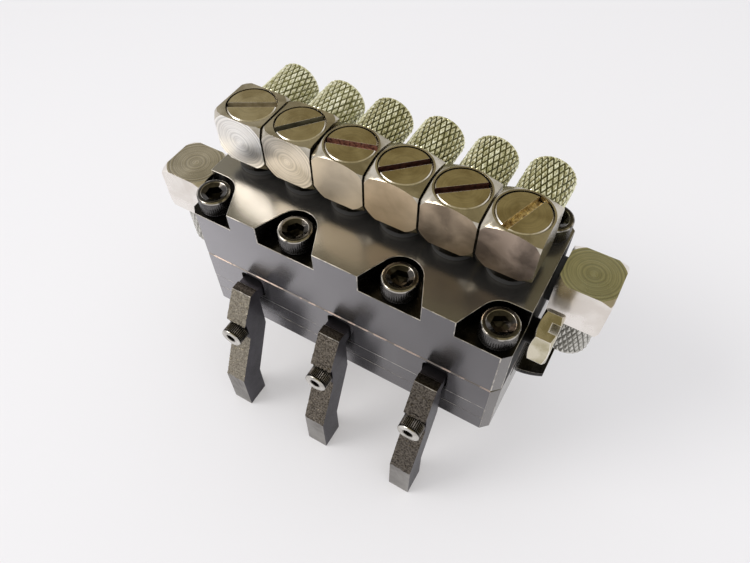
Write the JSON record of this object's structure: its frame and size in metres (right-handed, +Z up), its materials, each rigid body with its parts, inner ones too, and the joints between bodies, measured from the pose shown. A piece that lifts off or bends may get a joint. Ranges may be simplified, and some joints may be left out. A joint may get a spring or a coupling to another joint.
{
  "type": "hydraulic directional valve",
  "caption": "Lever-operated hydraulic directional valve block for scale-model machines, with banjo hose fittings, knurled hose nuts, a relief adjuster and rocking control levers.",
  "frame": {"origin": "middle of the flat underside of the block, where it seats on its rail", "axes": "+X along the row of ports towards the relief adjuster, +Y from the levers towards the hose nuts, +Z up out of the ports"},
  "size_m": [0.0724, 0.035, 0.053],
  "materials": {
    "black_oxide_block": "black oxide, fine ground",
    "black_oxide_screws": "black oxide, slightly oily",
    "black_lever_steel": "black, grit blasted",
    "ground_steel": "ground",
    "spring_steel": "bright wire",
    "seal_rubber": "matte",
    "nickel_brass_screws": "nickel plated, turned",
    "nickel_brass_fittings": "nickel plated, turned",
    "nickel_brass_nuts": "nickel plated, knurled"
  },
  "bodies": {
    "valve_block": {"upper_body": "black_oxide_block", "middle_plate": "black_oxide_block", "lower_plate": "black_oxide_block", "base_plate": "black_oxide_block", "front_bolts": "black_oxide_screws", "rear_bolts": "black_oxide_screws", "hinge_rod": "ground_steel", "dowel_pins": "ground_steel", "spool_seals": "seal_rubber", "port_banjo_screws": "nickel_brass_screws", "port_seal_washers": "seal_rubber", "end_fitting_left": "nickel_brass_fittings", "end_fitting_right": "nickel_brass_fittings", "end_banjo_screws": "nickel_brass_screws", "end_seal_washers": "seal_rubber", "relief_spring": "spring_steel", "relief_ball": "ground_steel", "port_fitting_1": "nickel_brass_fittings", "port_fitting_2": "nickel_brass_fittings", "port_fitting_3": "nickel_brass_fittings", "port_fitting_4": "nickel_brass_fittings", "port_fitting_5": "nickel_brass_fittings", "port_fitting_6": "nickel_brass_fittings"},
    "lever_left_arm": {"lever_left": "black_lever_steel", "link_screw_left": "black_oxide_screws"},
    "spool_left_slider": {"spool_left": "ground_steel"},
    "lever_middle_arm": {"lever_middle": "black_lever_steel", "link_screw_middle": "black_oxide_screws"},
    "spool_middle_slider": {"spool_middle": "ground_steel"},
    "lever_right_arm": {"lever_right": "black_lever_steel", "link_screw_right": "black_oxide_screws"},
    "spool_right_slider": {"spool_right": "ground_steel"},
    "hose_nut_1_collar": {"hose_nut_1": "nickel_brass_nuts"},
    "hose_nut_2_collar": {"hose_nut_2": "nickel_brass_nuts"},
    "hose_nut_3_collar": {"hose_nut_3": "nickel_brass_nuts"},
    "hose_nut_4_collar": {"hose_nut_4": "nickel_brass_nuts"},
    "hose_nut_5_collar": {"hose_nut_5": "nickel_brass_nuts"},
    "hose_nut_6_collar": {"hose_nut_6": "nickel_brass_nuts"},
    "end_hose_nut_left_collar": {"end_hose_nut_left": "nickel_brass_nuts"},
    "end_hose_nut_right_collar": {"end_hose_nut_right": "nickel_brass_nuts"},
    "relief_adjuster": {"relief_screw": "nickel_brass_fittings"}
  },
  "joints": [
    {"name": "lever_left_rock", "type": "hinge", "parent": "valve_block", "child": "lever_left_arm", "pos_m": [-0.01712, -0.0053, 0.00985], "axis": [1, 0, 0], "range_deg": [-6, 6]},
    {"name": "spool_left_slide", "type": "slide", "parent": "valve_block", "child": "spool_left_slider", "axis": [0, 0, 1], "range_m": [-0.0006, 0.0006]},
    {"name": "lever_middle_rock", "type": "hinge", "parent": "valve_block", "child": "lever_middle_arm", "pos_m": [0, -0.0053, 0.00985], "axis": [1, 0, 0], "range_deg": [-6, 6]},
    {"name": "spool_middle_slide", "type": "slide", "parent": "valve_block", "child": "spool_middle_slider", "axis": [0, 0, 1], "range_m": [-0.0006, 0.0006]},
    {"name": "lever_right_rock", "type": "hinge", "parent": "valve_block", "child": "lever_right_arm", "pos_m": [0.01712, -0.0053, 0.00985], "axis": [1, 0, 0], "range_deg": [-6, 6]},
    {"name": "spool_right_slide", "type": "slide", "parent": "valve_block", "child": "spool_right_slider", "axis": [0, 0, 1], "range_m": [-0.0006, 0.0006]},
    {"name": "hose_nut_1_turn", "type": "hinge", "parent": "valve_block", "child": "hose_nut_1_collar", "pos_m": [-0.0214, 0.0085, 0.0328], "axis": [0, 1, 0], "range_deg": [-180, 180]},
    {"name": "hose_nut_2_turn", "type": "hinge", "parent": "valve_block", "child": "hose_nut_2_collar", "pos_m": [-0.01284, 0.0085, 0.0328], "axis": [0, 1, 0], "range_deg": [-180, 180]},
    {"name": "hose_nut_3_turn", "type": "hinge", "parent": "valve_block", "child": "hose_nut_3_collar", "pos_m": [-0.00428, 0.0085, 0.0328], "axis": [0, 1, 0], "range_deg": [-180, 180]},
    {"name": "hose_nut_4_turn", "type": "hinge", "parent": "valve_block", "child": "hose_nut_4_collar", "pos_m": [0.00428, 0.0085, 0.0328], "axis": [0, 1, 0], "range_deg": [-180, 180]},
    {"name": "hose_nut_5_turn", "type": "hinge", "parent": "valve_block", "child": "hose_nut_5_collar", "pos_m": [0.01284, 0.0085, 0.0328], "axis": [0, 1, 0], "range_deg": [-180, 180]},
    {"name": "hose_nut_6_turn", "type": "hinge", "parent": "valve_block", "child": "hose_nut_6_collar", "pos_m": [0.0214, 0.0085, 0.0328], "axis": [0, 1, 0], "range_deg": [-180, 180]},
    {"name": "end_hose_nut_left_turn", "type": "hinge", "parent": "valve_block", "child": "end_hose_nut_left_collar", "pos_m": [-0.0321, -0.004, 0.0119], "axis": [0, 0, -1], "range_deg": [-180, 180]},
    {"name": "end_hose_nut_right_turn", "type": "hinge", "parent": "valve_block", "child": "end_hose_nut_right_collar", "pos_m": [0.0321, 0.00535, 0.01315], "axis": [0, 0, -1], "range_deg": [-180, 180]},
    {"name": "relief_adjuster_turn", "type": "hinge", "parent": "valve_block", "child": "relief_adjuster", "pos_m": [0.0297, -0.004, 0.02], "axis": [1, 0, 0], "range_deg": [-180, 180]}
  ],
  "couplings": [
    {"joint": "spool_left_slide", "follows": "lever_left_rock", "m_per_rad": 0.0051},
    {"joint": "spool_middle_slide", "follows": "lever_middle_rock", "m_per_rad": 0.0051},
    {"joint": "spool_right_slide", "follows": "lever_right_rock", "m_per_rad": 0.0051}
  ]
}
